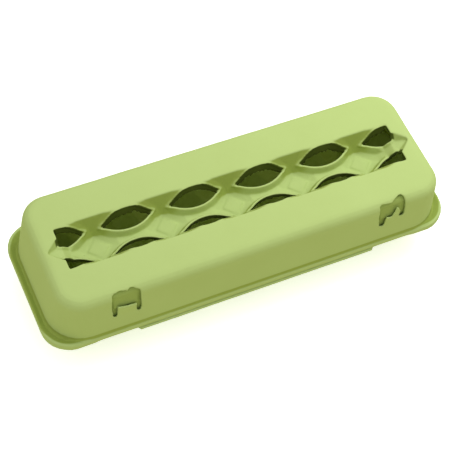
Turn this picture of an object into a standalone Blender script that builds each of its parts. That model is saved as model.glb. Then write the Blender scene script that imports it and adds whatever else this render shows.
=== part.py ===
"""Moulded paper pulp carton for twelve eggs: a tray of cups, a vented lid, a locking flap, a hinge strip."""

import math

import bmesh
import bpy
from mathutils import Vector
from mathutils.geometry import delaunay_2d_cdt

# Driving dimensions, in metres.
CELL_PITCH = 0.049          # from one egg to the next along the carton
ROW_PITCH = 0.047           # from one row of eggs to the other
CELLS_LONG = 6
END_MARGIN = 0.0034         # rim past the last cell, at each end
SIDE_MARGIN = 0.0026        # rim past each row of cells
TOTAL_HEIGHT = 0.070
RIM_HEIGHT = 0.026          # height of the parting plane between tray and lid
PULP = 0.0020               # wall thickness of tray and lid
FLAP_PULP = 0.0014          # thickness of the locking flap and hinge strip
GAP = 0.0003                # clearance between neighbouring pieces

# Lid walls.
LID_END_DRAFT = 0.0105      # how far an end wall leans in, from rim to top
LID_SIDE_DRAFT = 0.0042     # how far a long wall leans in, from rim to top
LID_TOP_CORNER = 0.0178     # plan radius of the lid's corners at the top
LID_BASE_CORNER = 0.0250    # plan radius where the wall meets its ledge
RIM_CORNER = 0.0190         # plan radius of the rim itself
EDGE_ROUND = 0.0070         # rounding between the lid's top and its walls
LEDGE = 0.0016              # width of the ledge above the lid's skirt, along the long sides
END_LEDGE = 0.0052          # its width at the ends
GROOVE = 0.0022             # depth of the groove along the ends, under the bead at the corners
SKIRT = 0.0055              # height of the lid's skirt

# Valley along the middle of the lid.
VALLEY_HALF_WIDTH = 0.0171
VALLEY_SLOPE = 0.46         # sideways travel of its wall for each unit of depth
PAD_DEPTH = 0.0155          # the flat pads between the holes
PAD_HALF = 0.0100           # half of a pad's diagonal
PAD_RISE = 0.0012           # raised square on each pad
NECK_DEPTH = 0.0099         # the holes' edges towards the necks between facing holes
NECK_STEP = 0.0032          # how far the necks lie below those edges
END_RISE_START = 0.110      # where the valley's floor starts to rise towards its ends
END_DEPTH = 0.0055          # depth of the valley at its ends
NOTCH_LENGTH = 0.0098       # the pointed notch past each end hole
NOTCH_HALF_WIDTH = 0.0092

# View holes: each is where two discs overlap, cut into the valley's wall.
HOLE_HALF_LENGTH = 0.0176
HOLE_TIP_Y = 0.0118         # sideways place of both pointed ends
HOLE_INNER_Y = 0.0046       # sideways place of the edge near the neck
HOLE_OUTER_Y = 0.0161       # sideways place of the edge near the lid's top
LIP = 0.0018                # flat lip round each hole
LIP_FOOT = 0.0016           # slope from the lip to the valley
LIP_STAND = 0.0013          # how far the lip stands off the valley's wall

# Windows in the lid's front wall, seen from 45 degrees above the front: place across the window and height
# above the line where wall and top would meet. The tongues' edges are place, drop from the top, lean.
LEFT_WINDOW = {
    "centre": -0.0964,
    "outline": [(-0.0095, 0.0002), (-0.0101, -0.0080), (-0.0092, -0.0170), (-0.0068, -0.0174),
                (-0.0067, -0.0163), (0.0073, -0.0166), (0.0077, -0.0178), (0.0094, -0.0183),
                (0.0104, -0.0157), (0.0102, -0.0112), (0.0097, -0.0010), (0.0070, 0.0005),
                (0.0054, 0.0018), (0.0035, 0.0019), (0.0014, 0.0007), (-0.0034, 0.0020), (-0.0070, 0.0015)],
    "tongue": [(-0.0066, 0.0121, 0.0012), (-0.0005, 0.0138, 0.0013), (0.0069, 0.0146, 0.0012)],
}
RIGHT_WINDOW = {
    "centre": 0.0986,
    "outline": [(-0.0098, -0.0002), (-0.0099, -0.0070), (-0.0083, -0.0160), (-0.0048, -0.0171),
                (-0.0047, -0.0160), (0.0064, -0.0126), (0.0080, -0.0124), (0.0092, -0.0131),
                (0.0104, -0.0114), (0.0093, 0.0008), (0.0087, 0.0029), (0.0073, 0.0037),
                (0.0054, 0.0036), (0.0030, 0.0024), (-0.0007, 0.0001), (-0.0046, 0.0007), (-0.0084, 0.0010)],
    "tongue": [(-0.0046, 0.0128, 0.0012), (-0.0002, 0.0144, 0.0012), (0.0017, 0.0105, 0.0010),
               (0.0031, 0.0066, 0.0006), (0.0043, 0.0068, 0.0005), (0.0062, 0.0102, 0.0006)],
}
TONGUE_FOOT = 0.0228        # from the lid's top down to the tongues' fold

# Locking flap.
FLAP_FOOT_HALF = 0.088
FLAP_HEAD_HALF = 0.111
FLAP_SHOULDER = 0.012       # height of the flap's narrow foot
FLAP_CURL = 0.0020          # flat edge past the flap's rounded head
BUTTON_HALF_WIDTH = 0.0083
BUTTON_FOOT = 0.0160        # from the lid's top down to a button's lower edge
BUTTON_HEAD = 0.0080        # from the lid's top down to its upper edge
BUTTON_RISE = 0.0012        # how far its lower edge stands out, towards the tongue's back

# Tray.
FOOT_RADIUS = 0.0105
FOOT_FILLET = (0.0125, 0.0036)     # radius and height where the foot meets the cup's wall
CUP_SHOULDER = (0.0218, 0.0215)
CUP_MOUTH = (0.0233, 0.0258)
SADDLE_HEIGHT = 0.0195      # ridge between two neighbouring cups
POST_TOP_RADIUS = 0.0062
POST_BASE_RADIUS = 0.0115
FLANGE = 0.0034             # flat edge all round the tray, with what the lid hides of it
FLANGE_PULP = 0.0012        # its thickness at the edge
RIM_INSET = 0.0010          # how far the tray's edge stays behind the lid's
OVERHANG = 0.0011           # how far the front fold and the hinge strip stand out
EAR = 0.0006                # how far the lid's corners stand out
FOLD_PULP = 0.0018          # thickness of the front fold
EAR_LENGTH = 0.0334         # from the rim's ends to where it begins to swell towards its corners
EAR_RUN = 0.007

# Hinge strip.
STRIP_HALF_LENGTH = 0.112
STRIP_HEIGHT = 0.0072

HALF_LENGTH = CELLS_LONG * CELL_PITCH / 2 + END_MARGIN
HALF_WIDTH = (ROW_PITCH + CELL_PITCH) / 2 + SIDE_MARGIN
ROW_Y = ROW_PITCH / 2
LAST_CELL_X = (CELLS_LONG - 1) * CELL_PITCH / 2
VALLEY_HALF_LENGTH = LAST_CELL_X + 0.0016
LID_BOTTOM = RIM_HEIGHT + GAP / 2
TRAY_TOP = RIM_HEIGHT - GAP / 2
PAD_CENTRES = [(k - (CELLS_LONG - 2) / 2) * CELL_PITCH for k in range(CELLS_LONG - 1)]
CELL_CENTRES = [(k - (CELLS_LONG - 1) / 2) * CELL_PITCH for k in range(CELLS_LONG)]

# How finely outlines are divided: steps round a corner, and places along the straight sides.
ARC_STEPS = 7
LONG_SIDE = (0.035, 0.07, 0.20, 0.35, 0.5, 0.65, 0.80, 0.93, 0.965)
SHORT_SIDE = (0.25, 0.5, 0.75)

# A hole's two discs, as (centre's sideways place, radius).
INNER_SAG = HOLE_TIP_Y - HOLE_INNER_Y
OUTER_SAG = HOLE_OUTER_Y - HOLE_TIP_Y
INNER_RADIUS = (HOLE_HALF_LENGTH ** 2 + INNER_SAG ** 2) / (2 * INNER_SAG)
OUTER_RADIUS = (HOLE_HALF_LENGTH ** 2 + OUTER_SAG ** 2) / (2 * OUTER_SAG)
INNER_DISC = (HOLE_INNER_Y + INNER_RADIUS, INNER_RADIUS)
OUTER_DISC = (HOLE_OUTER_Y - OUTER_RADIUS, OUTER_RADIUS)


def smooth(t):
    """Ease from 0 to 1."""
    t = min(1.0, max(0.0, t))
    return t * t * (3 - 2 * t)


def clear_scene():
    for old in list(bpy.data.objects):
        bpy.data.objects.remove(old, do_unlink=True)


def make_collection(name):
    group = bpy.data.collections.new(name)
    bpy.context.scene.collection.children.link(group)
    return group


def make_material(name, colour, roughness):
    material = bpy.data.materials.new(name)
    material.use_nodes = True
    shader = material.node_tree.nodes["Principled BSDF"]
    shader.inputs["Base Color"].default_value = (*colour, 1.0)
    shader.inputs["Roughness"].default_value = roughness
    shader.inputs["Metallic"].default_value = 0.0
    return material


def mesh_object(name, shape, group, material=None):
    """Turn a bmesh into a named object in a collection."""
    mesh = bpy.data.meshes.new(name)
    shape.to_mesh(mesh)
    shape.free()
    thing = bpy.data.objects.new(name, mesh)
    group.objects.link(thing)
    if material:
        mesh.materials.append(material)
    return thing


def rounded_rectangle(half_x, half_y, radius):
    """Points round a rectangle with round corners, from the +X side anticlockwise."""
    points = []
    corners = [(1, 1), (-1, 1), (-1, -1), (1, -1)]
    for quarter, (side_x, side_y) in enumerate(corners):
        centre_x = side_x * (half_x - radius)
        centre_y = side_y * (half_y - radius)
        for step in range(ARC_STEPS + 1):
            angle = math.pi / 2 * (quarter + step / ARC_STEPS)
            points.append((centre_x + radius * math.cos(angle), centre_y + radius * math.sin(angle)))
        next_x, next_y = corners[(quarter + 1) % 4]
        end = points[-1]
        along_x = quarter % 2 == 0
        start_next = (next_x * (half_x - radius), end[1]) if along_x else (end[0], next_y * (half_y - radius))
        for share in LONG_SIDE if along_x else SHORT_SIDE:
            points.append((end[0] + (start_next[0] - end[0]) * share, end[1] + (start_next[1] - end[1]) * share))
    return points


def rim_plan(plan):
    """Swell the lid's rim at its four corners, and draw it in along the back for the hinge strip."""
    shifted = []
    for x, y in plan:
        share = max(0.0, abs(y) - HALF_WIDTH + LEDGE) / LEDGE
        ear = smooth((abs(x) - HALF_LENGTH + EAR_LENGTH) / EAR_RUN)
        shift = EAR * ear
        if y > 0:
            shift -= RIM_INSET * (1 - ear)
        shifted.append((x, y + share * shift * math.copysign(1.0, y)))
    return shifted


def corner_share(x, y):
    """0 along the rim's straight sides, 1 round its corners."""
    past_x = abs(x) - (HALF_LENGTH - RIM_CORNER - 0.004)
    past_y = abs(y) - (HALF_WIDTH - RIM_CORNER - 0.004)
    return smooth(min(past_x, past_y) / 0.005)


def end_share(x):
    """0 along the rim's long sides, 1 round its ends."""
    return smooth((abs(x) - (HALF_LENGTH - RIM_CORNER)) / 0.008)


def triangulate(outline, loops, lines, keep, height):
    """Fill the outline with triangles that follow every loop and line, lifted to their height."""
    points = []
    edges = []
    for loop in [outline] + loops:
        start = len(points)
        points += [Vector(p) for p in loop]
        edges += [(start + i, start + (i + 1) % len(loop)) for i in range(len(loop))]
    for line in lines:
        start = len(points)
        points += [Vector(p) for p in line]
        edges += [(start + i, start + i + 1) for i in range(len(line) - 1)]
    found = delaunay_2d_cdt(points, edges, [list(range(len(outline)))], 1, 1e-6)
    shape = bmesh.new()
    verts = [shape.verts.new((p.x, p.y, height(p.x, p.y))) for p in found[0]]
    for face in found[2]:
        middle = sum((found[0][i] for i in face), Vector((0, 0))) / len(face)
        if keep(middle.x, middle.y):
            shape.faces.new([verts[i] for i in face])
    loose = [v for v in shape.verts if not v.link_faces]
    bmesh.ops.delete(shape, geom=loose, context="VERTS")
    return shape


def add_shell_wall(shape, rings):
    """Join rings of equal point counts, the first of which lies on the shape's open edge."""
    rows = [[shape.verts.new(p) for p in ring] for ring in rings]
    for upper, lower in zip(rows, rows[1:]):
        for i in range(len(upper)):
            j = (i + 1) % len(upper)
            shape.faces.new((upper[i], lower[i], lower[j], upper[j]))
    bmesh.ops.remove_doubles(shape, verts=shape.verts[:], dist=0.00005)
    bmesh.ops.recalc_face_normals(shape, faces=shape.faces[:])


def below(point, height):
    """The point one wall thickness under a height field, square to its slopes on both sides of a crease."""
    reach = 0.0004
    x, y, z = point
    along = Vector((height(x + reach, y) - height(x - reach, y), height(x, y + reach) - height(x, y - reach)))
    if along.length < 0.00002:
        return point - Vector((0, 0, PULP))
    along.normalize()
    sides = []
    for sign in (-1, 1):
        slope = sign * (height(x + sign * reach * along.x, y + sign * reach * along.y) - z) / reach
        sides.append(Vector((-slope * along.x, -slope * along.y, 1)).normalized())
    normal = (sides[0] + sides[1]).normalized()
    return point - normal * PULP / normal.dot(sides[0])


def thicken(shape, height):
    """Give an open height-field sheet its lower skin and its edge."""
    rim = [edge for edge in shape.edges if len(edge.link_faces) == 1]
    lower = {}
    for vert in shape.verts[:]:
        if any(edge in rim for edge in vert.link_edges):
            lower[vert] = shape.verts.new(vert.co - Vector((0, 0, FLANGE_PULP)))
        else:
            lower[vert] = shape.verts.new(below(vert.co, height))
    for face in shape.faces[:]:
        shape.faces.new([lower[vert] for vert in reversed(face.verts)])
    for edge in rim:
        a, b = edge.verts
        shape.faces.new((a, b, lower[b], lower[a]))
    bmesh.ops.recalc_face_normals(shape, faces=shape.faces[:])


def solidify(thing, thickness, offset):
    shell = thing.modifiers.new("wall", "SOLIDIFY")
    shell.thickness = thickness
    shell.offset = offset
    shell.solidify_mode = "NON_MANIFOLD"
    shell.nonmanifold_thickness_mode = "CONSTRAINTS"


def boolean(thing, tool, operation):
    cut = thing.modifiers.new(tool.name, "BOOLEAN")
    cut.operation = operation
    cut.object = tool
    cut.solver = "EXACT"


def mark_as_cutter(tool):
    tool.hide_render = True
    tool.display_type = "WIRE"


def prism(name, outline, low, high, group, place):
    """A closed prism: the outline's two numbers and the height are put in order by place(u, v, w)."""
    shape = bmesh.new()
    bottom = [shape.verts.new(place(u, v, low)) for u, v in outline]
    top = [shape.verts.new(place(u, v, high)) for u, v in outline]
    shape.faces.new(bottom)
    shape.faces.new(top)
    for i in range(len(outline)):
        j = (i + 1) % len(outline)
        shape.faces.new((bottom[i], bottom[j], top[j], top[i]))
    bmesh.ops.recalc_face_normals(shape, faces=shape.faces[:])
    tool = mesh_object(name, shape, group)
    mark_as_cutter(tool)
    return tool


# ---------------------------------------------------------------- the lid

def hole_outline(centre_x, side, grow, inner_steps=10, outer_steps=8):
    """The overlap of a hole's two discs, each grown by the same amount."""
    inner_y, inner_r = INNER_DISC[0], INNER_DISC[1] + grow
    outer_y, outer_r = OUTER_DISC[0], OUTER_DISC[1] + grow
    spread = inner_y - outer_y
    tip_y = outer_y + (outer_r ** 2 - inner_r ** 2 + spread ** 2) / (2 * spread)
    tip_x = math.sqrt(outer_r ** 2 - (tip_y - outer_y) ** 2)
    inner_half = math.asin(tip_x / inner_r)
    outer_half = math.asin(tip_x / outer_r)
    points = []
    for step in range(outer_steps):
        angle = outer_half * (1 - 2 * step / outer_steps)
        points.append((outer_r * math.sin(angle), outer_y + outer_r * math.cos(angle)))
    for step in range(inner_steps):
        angle = inner_half * (2 * step / inner_steps - 1)
        points.append((inner_r * math.sin(angle), inner_y - inner_r * math.cos(angle)))
    return [(centre_x + x, side * y) for x, y in points]


def hole_distance(x, y):
    """How far a point lies outside the nearest hole's outline."""
    nearest = min(CELL_CENTRES, key=lambda c: abs(c - x))
    from_inner = math.hypot(x - nearest, abs(y) - INNER_DISC[0]) - INNER_DISC[1]
    from_outer = math.hypot(x - nearest, abs(y) - OUTER_DISC[0]) - OUTER_DISC[1]
    return max(from_inner, from_outer)


def valley_depth(x, y):
    """How far the lid's top lies below its highest plane."""
    beyond = abs(x) - VALLEY_HALF_LENGTH
    if beyond > -0.00001:
        share = max(0.0, 1 - beyond / NOTCH_LENGTH)
        notch = (NOTCH_HALF_WIDTH * share - abs(y)) / VALLEY_SLOPE
        return max(0.0, min(notch, END_DEPTH * (0.5 + 0.5 * share)))
    wall = (VALLEY_HALF_WIDTH - abs(y)) / VALLEY_SLOPE
    if wall <= 0 and abs(y) > HOLE_OUTER_Y + LIP + LIP_FOOT:
        return 0.0
    away = hole_distance(x, y)
    ramp = smooth((away - LIP) / 0.0075)
    step = NECK_STEP * smooth((away - LIP) / LIP_FOOT)
    floor = NECK_DEPTH + step + (PAD_DEPTH - NECK_DEPTH - NECK_STEP) * ramp
    rise = smooth((abs(x) - END_RISE_START) / (VALLEY_HALF_LENGTH - END_RISE_START))
    deepest = PAD_DEPTH + (END_DEPTH - PAD_DEPTH) * rise
    base = max(0.0, min(wall, floor, deepest))
    collar = max(0.0, min(NECK_DEPTH, wall - LIP_STAND, deepest))
    return collar + (base - collar) * smooth((away - LIP) / LIP_FOOT)


def lid_rings():
    """Rings from the edge of the lid's flat top down to its rim."""
    top_x = HALF_LENGTH - LID_END_DRAFT
    top_y = HALF_WIDTH - LID_SIDE_DRAFT
    levels = []
    for angle in (0, 22, 45, 65, 82):
        out = EDGE_ROUND * (1 - math.sin(math.radians(angle)))
        drop = EDGE_ROUND * (1 - math.cos(math.radians(angle)))
        levels.append((top_x - out, top_y - out, LID_TOP_CORNER - out, TOTAL_HEIGHT - drop))
    ledge_z = LID_BOTTOM + SKIRT
    foot = (HALF_LENGTH - END_LEDGE, HALF_WIDTH - LEDGE, LID_BASE_CORNER, ledge_z - LEDGE / 2)
    start = levels[4]
    for share in (0.33, 0.67, 1.0):
        levels.append(tuple(a + (b - a) * share for a, b in zip(start, foot)))
    groove = len(levels)
    levels.append((foot[0] + 0.0011, HALF_WIDTH - 0.0012, LID_BASE_CORNER, ledge_z))
    levels.append((HALF_LENGTH - 0.0014, HALF_WIDTH - 0.0009, RIM_CORNER + 0.0010, ledge_z))
    levels.append((HALF_LENGTH - 0.0003, HALF_WIDTH - 0.0003, RIM_CORNER + 0.0003, ledge_z - 0.0003))
    for z in (ledge_z - 0.0020, LID_BOTTOM + 0.4 * SKIRT, LID_BOTTOM):
        levels.append((HALF_LENGTH, HALF_WIDTH, RIM_CORNER, z))
    rings = []
    for step, (half_x, half_y, radius, z) in enumerate(levels):
        ring = []
        for x, y in rim_plan(rounded_rectangle(half_x, half_y, radius)):
            sunk = 0.0
            if step == groove:
                sunk = GROOVE / 2 * (1 + end_share(x))
            elif step in (groove + 1, groove + 2):
                sunk = (0.0014 - 0.0008 * end_share(x)) * (1 - corner_share(x, y))
            ring.append((x, y, z - sunk))
        rings.append(ring)
    return rings


def from_above_front(across, up, away):
    """A point given as it is seen from 45 degrees above the front."""
    slant = math.sqrt(0.5)
    return (across, LID_SIDE_DRAFT - HALF_WIDTH + slant * (up + away), TOTAL_HEIGHT + slant * (up - away))


def wall_y(z):
    """Outer face of the lid's front wall at a height."""
    top = TOTAL_HEIGHT - EDGE_ROUND
    base = LID_BOTTOM + SKIRT - LEDGE / 2
    share = (z - base) / (top - base)
    return -(HALF_WIDTH - LEDGE + (LEDGE - LID_SIDE_DRAFT) * share)


def tongue(window, group):
    """The tongue between a window's slits: it leans out of the wall from its foot."""
    foot = TOTAL_HEIGHT - TONGUE_FOOT
    thickness = 0.75 * PULP
    shape = bmesh.new()
    columns = []
    for place, drop, lean in window["tongue"]:
        x = window["centre"] + place
        head = TOTAL_HEIGHT - drop
        columns.append([
            shape.verts.new((x, wall_y(foot) - 0.00005, foot)),
            shape.verts.new((x, wall_y(head) - lean, head)),
            shape.verts.new((x, wall_y(head) - lean + thickness, head + 0.0002)),
            shape.verts.new((x, wall_y(foot) + thickness, foot)),
        ])
    for a, b in zip(columns, columns[1:]):
        for i in range(4):
            j = (i + 1) % 4
            shape.faces.new((a[i], a[j], b[j], b[i]))
    shape.faces.new(columns[0])
    shape.faces.new(columns[-1])
    bmesh.ops.recalc_face_normals(shape, faces=shape.faces[:])
    tool = mesh_object("tongue", shape, group)
    mark_as_cutter(tool)
    return tool


def pad_boss(centre_x, group):
    """Raised square on one of the valley's pads, turned to point along the carton."""
    bpy.ops.mesh.primitive_cone_add(
        vertices=4, radius1=PAD_HALF * 0.80, radius2=PAD_HALF * 0.72, depth=PAD_RISE + PULP / 2,
        location=(centre_x, 0, TOTAL_HEIGHT - PAD_DEPTH + (PAD_RISE - PULP / 2) / 2),
    )
    boss = bpy.context.active_object
    boss.name = "pad_boss"
    for holder in list(boss.users_collection):
        holder.objects.unlink(boss)
    group.objects.link(boss)
    mark_as_cutter(boss)
    return boss


def make_lid(parts, cutters):
    rings = lid_rings()
    outline = [(x, y) for x, y, z in rings[0]]
    loops = []
    for centre_x in CELL_CENTRES:
        for side in (1, -1):
            for grow in (0.0, LIP, LIP + LIP_FOOT):
                loop = hole_outline(centre_x, side, grow)
                if abs(centre_x) > LAST_CELL_X - 0.001:
                    loop = clip_loop(loop, centre_x)
                loops.append(loop)
    for centre_x in PAD_CENTRES:
        loops.append([(centre_x + PAD_HALF, 0), (centre_x, PAD_HALF),
                      (centre_x - PAD_HALF, 0), (centre_x, -PAD_HALF)])
    edge = VALLEY_HALF_LENGTH
    tip = VALLEY_HALF_LENGTH + NOTCH_LENGTH
    loops.append([(edge, VALLEY_HALF_WIDTH), (-edge, VALLEY_HALF_WIDTH), (-edge, -VALLEY_HALF_WIDTH),
                  (edge, -VALLEY_HALF_WIDTH)])
    for side in (-1, 1):
        loops.append([(side * edge, NOTCH_HALF_WIDTH), (side * tip, 0), (side * edge, -NOTCH_HALF_WIDTH)])
    lines = [[(x, y * HOLE_TIP_Y) for y in (-1, 1)] for x in PAD_CENTRES]
    lines += [[(side * edge, y) for y in (-HOLE_INNER_Y, HOLE_INNER_Y)] for side in (-1, 1)]

    def keep(x, y):
        return abs(x) > edge or hole_distance(x, y) > 0

    shape = triangulate(outline, loops, lines, keep, lambda x, y: TOTAL_HEIGHT - valley_depth(x, y))
    add_shell_wall(shape, rings)
    lid = mesh_object("lid", shape, parts, make_material("lid_pulp", (0.48, 0.63, 0.25), 0.95))
    solidify(lid, PULP, -1)
    for window in (LEFT_WINDOW, RIGHT_WINDOW):
        outline = [(window["centre"] + place, up) for place, up in window["outline"]]
        boolean(lid, prism("window_cutter", outline, -0.005, 0.021, cutters, from_above_front), "DIFFERENCE")
        boolean(lid, tongue(window, cutters), "UNION")
    for centre_x in PAD_CENTRES:
        boolean(lid, pad_boss(centre_x, cutters), "UNION")
    return lid


def clip_loop(loop, centre_x):
    """Keep the half of an end hole's outline that lies towards the carton's middle."""
    sign = 1 if centre_x > 0 else -1
    edge = sign * VALLEY_HALF_LENGTH
    kept = []
    for (ax, ay), (bx, by) in zip(loop, loop[1:] + loop[:1]):
        inside_a = sign * ax <= sign * edge
        inside_b = sign * bx <= sign * edge
        if inside_a:
            kept.append((ax, ay))
        if inside_a != inside_b:
            share = (edge - ax) / (bx - ax)
            kept.append((edge, ay + (by - ay) * share))
    return kept


# ---------------------------------------------------------------- the tray

def cup_height(radius):
    """Height of a cup's inner face at a distance from its middle."""
    steps = [(0.0, PULP), (FOOT_RADIUS, PULP), FOOT_FILLET, CUP_SHOULDER, CUP_MOUTH, (0.030, 0.060)]
    for (r0, z0), (r1, z1) in zip(steps, steps[1:]):
        if radius <= r1:
            return z0 + (z1 - z0) * (radius - r0) / (r1 - r0)
    return steps[-1][1]


def post_top():
    return TOTAL_HEIGHT - PAD_DEPTH - PULP - GAP


def ridge_height(x, y):
    """Height of the tray's top between the cups: rim, saddles and posts."""
    rim = max(smooth((abs(y) - ROW_Y - 0.012) / 0.009), smooth((abs(x) - LAST_CELL_X - 0.012) / 0.009))
    height = SADDLE_HEIGHT + (TRAY_TOP - SADDLE_HEIGHT) * rim
    for centre_x in PAD_CENTRES:
        reach = math.hypot(x - centre_x, y)
        if reach < 0.020:
            slope = (post_top() - SADDLE_HEIGHT - 0.006) / (POST_BASE_RADIUS - POST_TOP_RADIUS)
            flank = post_top() - max(0.0, reach - POST_TOP_RADIUS) * slope
            skirt = SADDLE_HEIGHT + 0.006 * (1 - smooth((reach - POST_BASE_RADIUS) / 0.006))
            height = max(height, flank, skirt)
    return min(height, post_top())


def tray_height(x, y):
    nearest_x = min(CELL_CENTRES, key=lambda c: abs(c - x))
    nearest_y = ROW_Y if y > 0 else -ROW_Y
    radius = math.hypot(x - nearest_x, y - nearest_y)
    return min(cup_height(radius), ridge_height(x, y))


def circle(centre_x, centre_y, radius, count, turn=0.0):
    step = 2 * math.pi / count
    return [(centre_x + radius * math.cos(step * (i + turn)), centre_y + radius * math.sin(step * (i + turn)))
            for i in range(count)]


def make_tray(parts, cutters):
    outline = rounded_rectangle(HALF_LENGTH - RIM_INSET, HALF_WIDTH - RIM_INSET, RIM_CORNER - RIM_INSET)
    loops = [rounded_rectangle(HALF_LENGTH - FLANGE, HALF_WIDTH - FLANGE, RIM_CORNER - FLANGE)]
    for centre_x in CELL_CENTRES:
        for centre_y in (-ROW_Y, ROW_Y):
            for radius in (FOOT_RADIUS, FOOT_FILLET[0], CUP_SHOULDER[0], CUP_MOUTH[0]):
                loops.append(circle(centre_x, centre_y, radius, 20, 0.5))
    for centre_x in PAD_CENTRES:
        loops.append(circle(centre_x, 0, POST_TOP_RADIUS, 12))
        loops.append(circle(centre_x, 0, POST_BASE_RADIUS, 12))
    inner_y = ROW_Y + 0.021
    lines = []
    for centre_x in PAD_CENTRES:
        for side in (-1, 1):
            places = (POST_BASE_RADIUS, 0.0175, ROW_Y, ROW_Y + 0.012, inner_y)
            lines.append([(centre_x, side * y) for y in places])
    for centre_x in CELL_CENTRES:
        lines.append([(centre_x + x, 0) for x in (-0.0065, 0, 0.0065)])

    shape = triangulate(outline, loops, lines, lambda x, y: True, tray_height)
    thicken(shape, tray_height)
    tray = mesh_object("tray", shape, parts, make_material("tray_pulp", (0.44, 0.58, 0.22), 0.95))
    fold = box("front_fold", (-FLAP_FOOT_HALF, -HALF_WIDTH - OVERHANG, TRAY_TOP - FOLD_PULP),
               (FLAP_FOOT_HALF, -HALF_WIDTH + 2 * RIM_INSET, TRAY_TOP), cutters)
    mark_as_cutter(fold)
    boolean(tray, fold, "UNION")
    return tray


# ---------------------------------------------------------------- flap and hinge

def box(name, low, high, group):
    """A closed box between two corners, its origin at the world's."""
    shape = bmesh.new()
    bmesh.ops.create_cube(shape, size=1.0)
    for vert in shape.verts:
        vert.co = Vector(lo + (hi - lo) * (c + 0.5) for lo, hi, c in zip(low, high, vert.co))
    return mesh_object(name, shape, group)


def flap_y(z):
    """Outer face of the locking flap at a height, just behind the lid's front wall."""
    return wall_y(z) + PULP + GAP * 1.5


def flap_face(foot, depth):
    """Side view of the flap at a depth behind its face: up the wall, then round under the lid's edge."""
    round_y = LID_SIDE_DRAFT - HALF_WIDTH + EDGE_ROUND
    round_z = TOTAL_HEIGHT - EDGE_ROUND
    radius = EDGE_ROUND - PULP - GAP * 1.5 - depth
    points = [(flap_y(z) + depth, z) for z in (foot, round_z)]
    for step in range(1, 6):
        angle = math.pi / 2 * step / 5
        points.append((round_y - radius * math.cos(angle), round_z + radius * math.sin(angle)))
    points.append((round_y + FLAP_CURL, points[-1][1]))
    return points


def make_flap(parts, cutters):
    """The flap folds up from the tray's front edge and stands behind the lid's front wall."""
    foot = LID_BOTTOM + GAP / 2
    shoulder = foot + FLAP_SHOULDER
    side_view = flap_face(foot, 0.0) + flap_face(foot, FLAP_PULP)[::-1]
    flap = prism("locking_flap", side_view, -FLAP_HEAD_HALF, FLAP_HEAD_HALF, parts, lambda u, v, w: (w, u, v))
    flap.hide_render = False
    flap.display_type = "TEXTURED"
    flap.data.materials.append(make_material("flap_pulp", (0.42, 0.56, 0.21), 0.95))
    half = [(FLAP_FOOT_HALF, foot - 0.001), (FLAP_FOOT_HALF + 0.001, shoulder - 0.004),
            (FLAP_HEAD_HALF - 0.004, shoulder), (FLAP_HEAD_HALF + 0.001, shoulder + 0.004),
            (FLAP_HEAD_HALF + 0.001, TOTAL_HEIGHT)]
    outline = half + [(-x, z) for x, z in reversed(half)]
    trim = prism("flap_outline", outline, -HALF_WIDTH, -HALF_WIDTH / 2, cutters, lambda u, v, w: (u, w, v))
    boolean(flap, trim, "INTERSECT")
    low = TOTAL_HEIGHT - BUTTON_FOOT
    high = TOTAL_HEIGHT - BUTTON_HEAD
    inside = 0.6 * FLAP_PULP
    outline = [(flap_y(low) - BUTTON_RISE, low), (flap_y(high) - 0.1 * BUTTON_RISE, high),
               (flap_y(high) + inside, high), (flap_y(low) + inside, low)]
    for window in (LEFT_WINDOW, RIGHT_WINDOW):
        left = window["centre"] - BUTTON_HALF_WIDTH
        right = window["centre"] + BUTTON_HALF_WIDTH
        button = prism("button", outline, left, right, cutters, lambda u, v, w: (w, u, v))
        boolean(flap, button, "UNION")
    return flap


def make_hinge_strip(parts):
    """The thin fold along the back that the lid turns on."""
    strip = box("hinge_strip", (-STRIP_HALF_LENGTH, HALF_WIDTH - RIM_INSET + GAP, RIM_HEIGHT - STRIP_HEIGHT / 2),
                (STRIP_HALF_LENGTH, HALF_WIDTH + OVERHANG, RIM_HEIGHT + STRIP_HEIGHT / 2), parts)
    strip.data.materials.append(make_material("hinge_pulp", (0.44, 0.58, 0.22), 0.95))
    rounding = strip.modifiers.new("rounding", "BEVEL")
    rounding.width = 0.0004
    rounding.segments = 1
    return strip


def move_origin(thing, place):
    """Put an object's origin on the axis it turns about, leaving its faces where they are."""
    for vert in thing.data.vertices:
        vert.co -= place
    thing.location = place


def main():
    clear_scene()
    parts = make_collection("egg_carton")
    cutters = make_collection("cutters")
    make_tray(parts, cutters)
    lid = make_lid(parts, cutters)
    move_origin(lid, Vector((0, HALF_WIDTH + OVERHANG, RIM_HEIGHT)))
    make_flap(parts, cutters)
    make_hinge_strip(parts)


main()
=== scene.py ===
import math

import bpy
from mathutils import Matrix, Vector
from mathutils.noise import noise


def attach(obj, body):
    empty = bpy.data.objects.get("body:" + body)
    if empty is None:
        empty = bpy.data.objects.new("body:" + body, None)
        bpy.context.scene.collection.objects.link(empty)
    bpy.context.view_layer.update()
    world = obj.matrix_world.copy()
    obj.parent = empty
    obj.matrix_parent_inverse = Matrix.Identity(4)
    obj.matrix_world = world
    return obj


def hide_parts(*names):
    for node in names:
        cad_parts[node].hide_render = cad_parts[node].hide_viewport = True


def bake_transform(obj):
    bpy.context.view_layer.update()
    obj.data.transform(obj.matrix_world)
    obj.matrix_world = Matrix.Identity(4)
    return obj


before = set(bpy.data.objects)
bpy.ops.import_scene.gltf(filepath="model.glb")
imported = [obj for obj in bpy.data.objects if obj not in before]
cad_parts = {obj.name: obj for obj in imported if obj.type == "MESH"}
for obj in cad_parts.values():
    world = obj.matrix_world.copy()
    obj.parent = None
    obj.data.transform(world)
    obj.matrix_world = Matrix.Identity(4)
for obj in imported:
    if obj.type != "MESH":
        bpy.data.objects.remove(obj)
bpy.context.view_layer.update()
print("frame loaded")


def deselectAll():
    for thing in list(bpy.context.selected_objects):
        thing.select_set(False)


def pick(thing):
    deselectAll()
    thing.select_set(True)
    bpy.context.view_layer.objects.active = thing


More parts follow.
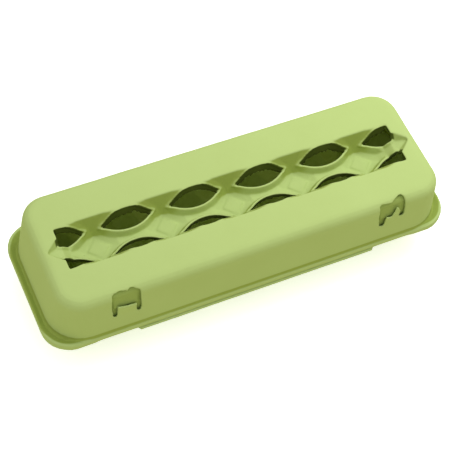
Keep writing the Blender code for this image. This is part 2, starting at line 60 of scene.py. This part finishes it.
def applyAll(thing):
    pick(thing)
    for step in list(thing.modifiers):
        bpy.ops.object.modifier_apply(modifier=step.name)


def copyNode(node, name):
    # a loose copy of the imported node, its doubles merged
    thing = bpy.data.objects.new(name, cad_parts[node].data.copy())
    bpy.context.scene.collection.objects.link(thing)
    pick(thing)
    bpy.ops.object.mode_set(mode="EDIT")
    bpy.ops.mesh.select_all(action="SELECT")
    bpy.ops.mesh.remove_doubles(threshold=0.00001)
    bpy.ops.object.mode_set(mode="OBJECT")
    thing.data.materials.clear()
    return thing


def smoothShade(thing, degrees=40):
    pick(thing)
    bpy.ops.object.shade_smooth_by_angle(angle=math.radians(degrees))


def cloudTexture(name, size, depth):
    cloud = bpy.data.textures.new(name, "CLOUDS")
    cloud.noise_scale = size
    cloud.noise_depth = depth
    return cloud


def feltOver(thing, look):
    # turn a crisp shell into moulded pulp: even small faces, soft edges, a faintly uneven wall
    remesh = thing.modifiers.new("even", "REMESH")
    remesh.mode = "VOXEL"
    remesh.voxel_size = look["grain"]
    soften = thing.modifiers.new("soften", "SMOOTH")
    soften.factor = 0.5
    soften.iterations = look["softenSteps"]
    for label, size, depth, height in look["waves"]:
        wave = thing.modifiers.new(label, "DISPLACE")
        wave.texture = cloudTexture(thing.name + "_" + label, size, depth)
        wave.texture_coords = "LOCAL"
        wave.strength = height
        wave.mid_level = look["midLevel"]
    thin = thing.modifiers.new("thin", "DECIMATE")
    thin.ratio = 1.0
    applyAllBut(thing, "thin")
    thin.ratio = min(1.0, look["mostTriangles"] / (2 * len(thing.data.polygons)))
    applyAll(thing)
    smoothShade(thing, 180)
    print(thing.name, "has", sum(len(p.vertices) - 2 for p in thing.data.polygons), "triangles")


def applyAllBut(thing, kept):
    pick(thing)
    for step in list(thing.modifiers):
        if step.name != kept:
            bpy.ops.object.modifier_apply(modifier=step.name)


class Value:
    # one output socket of a node tree, with the arithmetic that is used on it
    def __init__(self, tree, socket):
        self.tree = tree
        self.socket = socket

    def maths(self, operation, a, b=0.0):
        return addNode(self.tree, "ShaderNodeMath", {"operation": operation}, {0: a, 1: b})

    def __add__(self, other):
        return self.maths("ADD", self, other)

    def __radd__(self, other):
        return self.maths("ADD", other, self)

    def __sub__(self, other):
        return self.maths("SUBTRACT", self, other)

    def __rsub__(self, other):
        return self.maths("SUBTRACT", other, self)

    def __mul__(self, other):
        return self.maths("MULTIPLY", self, other)

    def __rmul__(self, other):
        return self.maths("MULTIPLY", other, self)

    def root(self):
        return self.maths("SQRT", self)

    def atLeast(self, limit):
        return self.maths("MAXIMUM", self, limit)

    def repeated(self, length):
        # the same stretch over and over, from minus half to plus half of its length
        wrapped = addNode(self.tree, "ShaderNodeMath", {"operation": "WRAP"}, {0: self, 1: length, 2: 0.0})
        return wrapped - length / 2

    def absolute(self):
        return self.maths("ABSOLUTE", self)

    def between(self, start, end):
        # 0 at start, eased to 1 at end
        return addNode(self.tree, "ShaderNodeMapRange", {"interpolation_type": "SMOOTHSTEP"},
                       {0: self, 1: start, 2: end})

    def part(self, axis):
        return addNode(self.tree, "ShaderNodeSeparateXYZ", {}, {0: self}, output=axis)


def addNode(tree, kind, settings, sockets, output=0):
    node = tree.nodes.new(kind)
    for name, value in settings.items():
        if name == "stops":
            fillRamp(node.color_ramp, value)
        else:
            setattr(node, name, value)
    for key, value in sockets.items():
        if isinstance(value, Value):
            tree.links.new(value.socket, node.inputs[key])
        else:
            node.inputs[key].default_value = value
    return Value(tree, node.outputs[output])


def fillRamp(ramp, stops):
    while len(ramp.elements) < len(stops):
        ramp.elements.new(0.5)
    for element, (place, shade) in zip(ramp.elements, stops):
        element.position = place
        element.color = (shade, shade, shade, 1.0)


def mixColour(tree, share, a, b, way="MIX"):
    settings = {"data_type": "RGBA", "blend_type": way}
    return addNode(tree, "ShaderNodeMix", settings, {0: share, 6: a, 7: b}, output=2)


# the lid's valley and view holes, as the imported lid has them
holes = {
    "pitch": 0.049,
    "lidTop": 0.070,
    "valleyHalfWidth": 0.0171,
    "valleySlope": 0.46,
    "padDepth": 0.0155,
    "riseStart": 0.110,  # where the valley's floor starts to rise towards its ends
    "halfLength": 0.0176,
    "tipY": 0.0118,
    "innerY": 0.0046,
    "outerY": 0.0161,
    "endX": 0.1241,
    "rimHalf": (0.1504, 0.0506, 0.0190),  # half length, half width and corner radius of the lid's rim
    "neckDepth": 0.0099,
    "endDepth": 0.0055,
    "stand": 0.0013,
    "beadRadius": 0.00105,
    "beadOut": 0.0005,
    "beadRise": 0.0004,
    "tipOut": 0.0026,
    "endNotch": 0.0092,
    "endPad": {"place": (0.1261, 0.0131, 0.0686), "size": (0.0034, 0.0084, 0.0024)},
    "band": {1: 0.0032, -1: 0.0012},  # torn pulp hanging in the far and the near holes, and how uneven it is
    "ragged": {1: (0.0003, 0.0022, 0.0004, 0.0022, 0.0030, 0.0028),
               -1: (0.0004, 0.0006, 0.0014, 0.0010, 0.0018, 0.0012)},
}


def arcCircle(tip, crown):
    # centre and radius of the circle whose arc runs between a hole's tips
    sag = abs(crown - tip)
    radius = (holes["halfLength"] ** 2 + sag ** 2) / (2 * sag)
    return crown - math.copysign(radius, crown - tip), radius


def valleyAndGrooveShadeMask(place):
    # painted shade on the lid: 1 on the valley's steep walls and in the groove above the rim, where shade falls
    x = place.part(0).absolute()
    y = place.part(1).absolute()
    z = place.part(2)
    facing = addNode(place.tree, "ShaderNodeTexCoord", {}, {}, output=1).part(2)
    valley = y.between(0.0178, 0.0168) * x.between(0.1350, 0.1320) * z.between(0.0500, 0.0540)
    valley = valley * facing.between(0.95, 0.60) * z.between(0.0698, 0.0686)
    valley = valley * (0.5 + 0.5 * y.between(0.0050, 0.0090))
    halfLength, halfWidth, corner = holes["rimHalf"]
    pastX = (x - (halfLength - corner)).atLeast(0.0)
    pastY = (y - (halfWidth - corner)).atLeast(0.0)
    inward = corner - (pastX * pastX + pastY * pastY).root()
    straight = 1 - x.between(0.1180, 0.1320) * y.between(0.0280, 0.0400)
    shift = straight * (0.0014 + 0.0006 * x.between(0.1300, 0.1440))
    groove = z.between(0.0334, 0.0322) * (inward + shift).between(0.0020, 0.0028)
    return valley + groove


def holeWallShadeMask(place):
    # painted shade: 1 on the upright faces inside the view holes
    facing = addNode(place.tree, "ShaderNodeTexCoord", {}, {}, output=1).part(2)
    inside = place.part(0).absolute().between(0.1262, 0.1252) * place.part(2).between(0.0480, 0.0500)
    inside = inside * facing.between(0.82, 0.55)
    x = place.part(0).repeated(holes["pitch"])
    y = place.part(1).absolute()
    for crown in (holes["outerY"], holes["innerY"]):
        centre, radius = arcCircle(holes["tipY"], crown)
        away = (x * x + (y - centre) * (y - centre)).root() - radius
        inside = inside * away.between(0.0008, 0.0002)
    return inside


def pulpMaterial(name, look, masks=()):
    material = bpy.data.materials.new(name)
    material.use_nodes = True
    tree = material.node_tree
    shader = tree.nodes["Principled BSDF"]
    shader.inputs["IOR"].default_value = 1.4
    shader.inputs["Specular IOR Level"].default_value = look["shine"]
    place = addNode(tree, "ShaderNodeTexCoord", {}, {}, output=3)

    # slow blotches of thicker and thinner stock, then small specks of fibre
    blotch = addNode(tree, "ShaderNodeTexNoise", {}, {"Vector": place, "Scale": 22.0, "Detail": 3.0})
    mottle = addNode(tree, "ShaderNodeTexNoise", {},
                     {"Vector": place, "Scale": 160.0, "Detail": 5.0, "Roughness": 0.65})
    speck = addNode(tree, "ShaderNodeTexVoronoi", {}, {"Vector": place, "Scale": 420.0})
    speckMask = addNode(tree, "ShaderNodeValToRGB", {"stops": [(0.0, 1.0), (0.10, 0.0)]}, {0: speck})
    fibre = addNode(tree, "ShaderNodeTexNoise", {},
                    {"Vector": place, "Scale": 700.0, "Detail": 6.0, "Roughness": 0.7, "Distortion": 1.6})
    base = mixColour(tree, blotch, look["deep"], look["pale"])
    base = mixColour(tree, 0.35 * mottle, base, look["pale"])
    base = mixColour(tree, look["speckShare"] * speckMask, base, look["speck"])
    # each mask multiplies painted shade into the colour
    for shade, mask in masks:
        base = mixColour(tree, mask(place), base, look[shade], "MULTIPLY")
    tree.links.new(base.socket, shader.inputs["Base Color"])
    rough = look["rough"] + 0.08 * mottle
    tree.links.new(rough.socket, shader.inputs["Roughness"])

    height = 0.55 * fibre + 0.45 * mottle
    fine = addNode(tree, "ShaderNodeBump", {}, {"Height": height, "Strength": look["bump"], "Distance": 0.0006})
    tree.links.new(fine.socket, shader.inputs["Normal"])
    return material


pulpLook = {
    "deep": (0.410, 0.512, 0.172, 1.0),
    "pale": (0.452, 0.565, 0.207, 1.0),
    "speck": (0.30, 0.37, 0.10, 1.0),
    # painted shade, multiplied into the lid's colour on the valley's steep walls and in the groove above the
    # rim
    "valleyAndGrooveShade": (0.68, 0.69, 0.38, 1.0),
    # painted shade, multiplied into the lid's colour on the upright faces inside the view holes
    "holeWallShade": (0.20, 0.22, 0.10, 1.0),
    "speckShare": 0.25,
    "rough": 0.86,
    "shine": 0.25,
    "bump": 0.35,
}
# painted shade: the flap's pulp colours are darker than the lid's and the tray's, for the shade it sits in
# behind the lid's windows
flapShadeColours = {"deep": (0.285, 0.370, 0.090, 1.0), "pale": (0.325, 0.415, 0.110, 1.0)}
# the lid's pulp, with painted shade on the valley walls, the groove and inside the view holes
lidPulp = pulpMaterial("lidPulp", pulpLook, (("valleyAndGrooveShade", valleyAndGrooveShadeMask), ("holeWallShade", holeWallShadeMask)))
trayPulp = pulpMaterial("trayPulp", {**pulpLook, "bump": 0.5})
flapPulp = pulpMaterial("flapPulp", {**pulpLook, **flapShadeColours})
print("materials made")

lidLook = {
    "grain": 0.00062,
    "softenSteps": 2,
    "waves": [("waves", 0.035, 1, 0.0003), ("grainy", 0.0030, 2, 0.00010)],
    "midLevel": 0.8,
    "mostTriangles": 196000,
}


def collarHeight(x, y):
    # height of the lip that the hole's edge lies on, and of the valley's end past it
    if abs(x) >= holes["endX"]:
        notch = (holes["endNotch"] - abs(y)) / holes["valleySlope"]
        return holes["lidTop"] - min(holes["endDepth"], max(0.0, notch))
    wall = (holes["valleyHalfWidth"] - abs(y)) / holes["valleySlope"] - holes["stand"]
    rise = min(1.0, max(0.0, (abs(x) - holes["riseStart"]) / (holes["endX"] - holes["riseStart"])))
    rise = rise * rise * (3 - 2 * rise)
    deepest = holes["padDepth"] + (holes["endDepth"] - holes["padDepth"]) * rise
    return holes["lidTop"] - max(0.0, min(holes["neckDepth"], wall, deepest))


def holeArc(outer, share, grow):
    # a point of the hole's outer or inner arc, share going from -1 at the left tip to 1 at the right tip
    centre, radius = arcCircle(holes["tipY"], holes["outerY"] if outer else holes["innerY"])
    angle = math.asin(holes["halfLength"] / radius) * share
    reach = (radius + grow) * (1 if outer else -1)
    y = centre + reach * math.cos(angle)
    x = abs(reach) * math.sin(angle)
    if grow > 0:
        x += math.copysign(holes["tipOut"] * max(0.0, abs(share) - 0.86) / 0.14, share)
    return x, y


def holeLoop(centreX, side, grow):
    loop = []
    for step in range(24):
        x, y = holeArc(True, 1 - step / 12, grow)
        loop.append((centreX + x, side * y))
    for step in range(24):
        x, y = holeArc(False, step / 12 - 1, grow)
        loop.append((centreX + x, side * y))
    # an end hole is cut off straight by the valley's end
    kept = [point for point in loop if abs(point[0]) <= holes["endX"] - 0.0006]
    if len(kept) < len(loop):
        first = max(range(len(kept)), key=lambda i: math.dist(kept[i - 1], kept[i]))
        kept = kept[first:] + kept[:first]
        edge = math.copysign(holes["endX"] + 0.0005, centreX)
        start, finish = kept[-1][1], kept[0][1]
        kept += [(edge, start + (finish - start) * step / 8) for step in range(9)]
    return kept


def beadRing(centreX, side):
    # the thin rolled bead round a hole
    line = bpy.data.curves.new("bead", "CURVE")
    line.dimensions = "3D"
    line.bevel_depth = holes["beadRadius"]
    line.bevel_resolution = 2
    highest = 0.0699 - holes["beadRadius"]
    points = holeLoop(centreX, side, holes["beadOut"])
    spline = line.splines.new("POLY")
    spline.points.add(len(points) - 1)
    for point, (x, y) in zip(spline.points, points):
        point.co = (x, y, min(collarHeight(x, y) + holes["beadRise"] - 0.0003, highest), 1.0)
        point.radius = 1.0
    spline.use_cyclic_u = True
    ring = bpy.data.objects.new("bead", line)
    bpy.context.scene.collection.objects.link(ring)
    pick(ring)
    bpy.ops.object.convert(target="MESH")
    return bpy.context.active_object


def tornEdge(centreX, side, ragged):
    # the band of pulp left hanging inside a hole where the blank was torn out
    rows = []
    steps = 110
    for step in range(1, steps):
        share = 2 * step / steps - 1
        x, y = holeArc(side > 0, share, 0.0)
        x, y = centreX + x, side * y
        if abs(x) > holes["endX"] - 0.0005:
            continue
        rag = noise(Vector((x * 620, y * 620, 3.1))) * 0.6 + noise(Vector((x * 2100, y * 2100, 7.7))) * 0.4
        fade = (1 - share * share) ** 0.35
        hang = max(0.0004, (holes["band"][side] + ragged * (0.4 + 1.5 * rag)) * fade)
        inward = Vector((centreX - x, side * 0.0095 - y, 0)).normalized()
        top = Vector((x, y, collarHeight(x, y) - 0.0009))
        rows.append((top - inward * 0.0006, top + inward * 0.0006,
                     top + inward * (0.0004 + 0.45 * hang) + Vector((0, 0, -hang)),
                     top - inward * 0.0005 + Vector((0, 0, -hang * 0.8 - 0.0009))))
    verts = [v for row in rows for v in row]
    faces = [(0, 1, 2, 3)]
    for i in range(len(rows) - 1):
        for k in range(4):
            a, b = 4 * i + k, 4 * i + (k + 1) % 4
            faces.append((a, a + 4, b + 4, b))
    last = 4 * (len(rows) - 1)
    faces.append((last + 3, last + 2, last + 1, last))
    mesh = bpy.data.meshes.new("tornEdge")
    mesh.from_pydata(verts, [], faces)
    strip = bpy.data.objects.new("tornEdge", mesh)
    bpy.context.scene.collection.objects.link(strip)
    pick(strip)
    bpy.ops.object.mode_set(mode="EDIT")
    bpy.ops.mesh.select_all(action="SELECT")
    bpy.ops.mesh.normals_make_consistent(inside=False)
    bpy.ops.object.mode_set(mode="OBJECT")
    return strip


lid = copyNode("lid", "lidShell")
extras = []
for k in range(6):
    centreX = (k - 2.5) * holes["pitch"]
    for side in (1, -1):
        extras.append(beadRing(centreX, side))
        extras.append(tornEdge(centreX, side, holes["ragged"][side][k]))
padX, padY, padZ = holes["endPad"]["place"]
for x in (-1, 1):
    for y in (-1, 1):  # thicker pulp under the corner between an end hole and the lid's top
        deselectAll()
        bpy.ops.mesh.primitive_cube_add(size=1.0, location=(x * padX, y * padY, padZ))
        pad = bpy.context.active_object
        pad.dimensions = holes["endPad"]["size"]
        bpy.ops.object.transform_apply(location=True, rotation=False, scale=True)
        extras.append(pad)
pick(lid)
for extra in extras:
    extra.select_set(True)
bpy.ops.object.join()
feltOver(lid, lidLook)
lid.data.materials.clear()
lid.data.materials.append(lidPulp)
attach(lid, "lid")
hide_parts("lid")
print("lid made")

trayLook = {
    "grain": 0.00105,
    "softenSteps": 4,
    "waves": [("waves", 0.035, 1, 0.0003), ("grainy", 0.0030, 2, 0.00015)],
    "midLevel": 0.8,
    "mostTriangles": 195000,
    "postCap": {"radius": 0.0052, "depth": 0.0020, "top": 0.0499},
}
tray = copyNode("tray", "trayShell")
disc = trayLook["postCap"]
discZ = disc["top"] - disc["depth"] / 2
caps = []
for k in range(5):
    # the posts' tops are thin, so each gets a disc of pulp under it
    deselectAll()
    bpy.ops.mesh.primitive_cylinder_add(vertices=24, radius=disc["radius"], depth=disc["depth"],
                                        location=((k - 2) * holes["pitch"], 0, discZ))
    bpy.ops.object.transform_apply(location=True, rotation=False, scale=False)
    caps.append(bpy.context.active_object)
pick(tray)
for cap in caps:
    cap.select_set(True)
bpy.ops.object.join()
feltOver(tray, trayLook)
tray.data.materials.append(trayPulp)
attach(tray, "tray")
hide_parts("tray")
print("tray made")

flapLook = {
    "grain": 0.00055,
    "softenSteps": 2,
    "waves": [("grainy", 0.0030, 2, 0.00010)],
    "midLevel": 0.8,
    "mostTriangles": 110000,
}
flap = copyNode("locking_flap", "lockingFlap")
feltOver(flap, flapLook)
flap.data.materials.append(flapPulp)
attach(flap, "tray")
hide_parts("locking_flap")
print("flap made")

stripLook = {
    "grain": 0.00045,
    "softenSteps": 2,
    "waves": [("grainy", 0.0040, 2, 0.00008)],
    "midLevel": 0.8,
    "mostTriangles": 40000,
    "bendStart": (0.0, 0.0508, 0.0235),
    "bendEnd": (0.0, 0.0508, 0.0285),
}
strip = copyNode("hinge_strip", "hingeFold")
feltOver(strip, stripLook)
strip.data.materials.append(trayPulp)
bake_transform(strip)
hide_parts("hinge_strip")
print("hinge strip made")

studio = {
    "floor": (0.90, 0.90, 0.90, 1.0),
    "floorGlow": 0.50,
    "zenith": (1.16, 1.17, 1.16),
    "skyline": (0.40, 0.38, 0.28),
    "underneath": (0.88, 0.85, 0.42),
    "lampPower": 1.55,
    "lampPlace": (0.36, 0.16, 0.50),
    "lampAim": (0.05, 0, 0.05),
    "lampSize": (0.36, 0.36),
    "lampColour": (0.97, 1.0, 1.0),
    "innerY": 0.024,
    "innerZ": 0.049,
    "innerSize": (0.26, 0.02),
    "innerPower": 0.0044,
    "innerColour": (0.95, 1.0, 0.18),
}
bpy.ops.mesh.primitive_plane_add(size=30.0, location=(0, 0, -0.0004))
floor = bpy.context.active_object
floor.name = "studioFloor"
floor.visible_diffuse = False  # the sky below stands in for its bounce
floorMaterial = bpy.data.materials.new("floorPaint")
floorMaterial.use_nodes = True
floorShader = floorMaterial.node_tree.nodes["Principled BSDF"]
floorShader.inputs["Base Color"].default_value = studio["floor"]
floorShader.inputs["Roughness"].default_value = 1.0
floorShader.inputs["Specular IOR Level"].default_value = 0.0
floorShader.inputs["Emission Color"].default_value = (1.0, 1.0, 1.0, 1.0)
floorShader.inputs["Emission Strength"].default_value = studio["floorGlow"]
floor.data.materials.append(floorMaterial)

world = bpy.data.worlds.new("studioSky")
bpy.context.scene.world = world
world.use_nodes = True
sky = world.node_tree
direction = addNode(sky, "ShaderNodeTexCoord", {}, {}, output=0)
height = addNode(sky, "ShaderNodeSeparateXYZ", {}, {0: direction}, output=2)
upper = addNode(sky, "ShaderNodeMapRange", {}, {0: height, 1: 0.0, 2: 1.0})
below = addNode(sky, "ShaderNodeMapRange", {}, {0: height, 1: 0.02, 2: -0.25})
skyColour = mixColour(sky, upper, (*studio["skyline"], 1.0), (*studio["zenith"], 1.0))
skyColour = mixColour(sky, below, skyColour, (*studio["underneath"], 1.0))
sky.links.new(skyColour.socket, sky.nodes["Background"].inputs["Color"])
sky.nodes["Background"].inputs["Strength"].default_value = 1.0


def areaLight(name, place, aim, power, size, colour):
    light = bpy.data.lights.new(name, "AREA")
    light.energy = power
    light.shape = "RECTANGLE"
    light.size, light.size_y = size
    light.color = colour
    holder = bpy.data.objects.new(name, light)
    bpy.context.scene.collection.objects.link(holder)
    holder.location = place
    holder.rotation_euler = (Vector(aim) - Vector(place)).to_track_quat("-Z", "Y").to_euler()
    return holder


areaLight("lamp", studio["lampPlace"], studio["lampAim"], studio["lampPower"], studio["lampSize"],
          studio["lampColour"])
for side in (-1, 1):  # faint light inside the closed carton, over each row of cups
    y = side * studio["innerY"]
    inner = areaLight("inner", (0, y, studio["innerZ"]), (0, y, 0), studio["innerPower"], studio["innerSize"],
                      studio["innerColour"])
    inner.rotation_euler = (0, 0, 0)
    inner.visible_camera = False
bpy.context.scene.view_settings.view_transform = "Standard"

view = {
    "target": (-0.01665, -0.02091, 0.0700),
    "azimuth": -31.23,
    "elevation": 56.73,
    "roll": 8.79,
    "distance": 0.9133,
    "lens": 110.19,
}


def addCamera(view):
    turn = math.radians(view["azimuth"])
    lift = math.radians(view["elevation"])
    roll = math.radians(view["roll"])
    back = Vector((math.sin(turn) * math.cos(lift), -math.cos(turn) * math.cos(lift), math.sin(lift)))
    level = Vector((math.cos(turn), math.sin(turn), 0))
    upright = back.cross(level)
    right = level * math.cos(roll) + upright * math.sin(roll)
    up = upright * math.cos(roll) - level * math.sin(roll)
    lens = bpy.data.cameras.new("camera")
    lens.lens = view["lens"]
    lens.clip_start = 0.05
    lens.clip_end = 50.0
    camera = bpy.data.objects.new("camera", lens)
    bpy.context.scene.collection.objects.link(camera)
    place = Vector(view["target"]) + back * view["distance"]
    camera.matrix_world = Matrix((
        (right.x, up.x, back.x, place.x),
        (right.y, up.y, back.y, place.y),
        (right.z, up.z, back.z, place.z),
        (0, 0, 0, 1),
    ))
    bpy.context.scene.camera = camera


addCamera(view)
print("studio set")
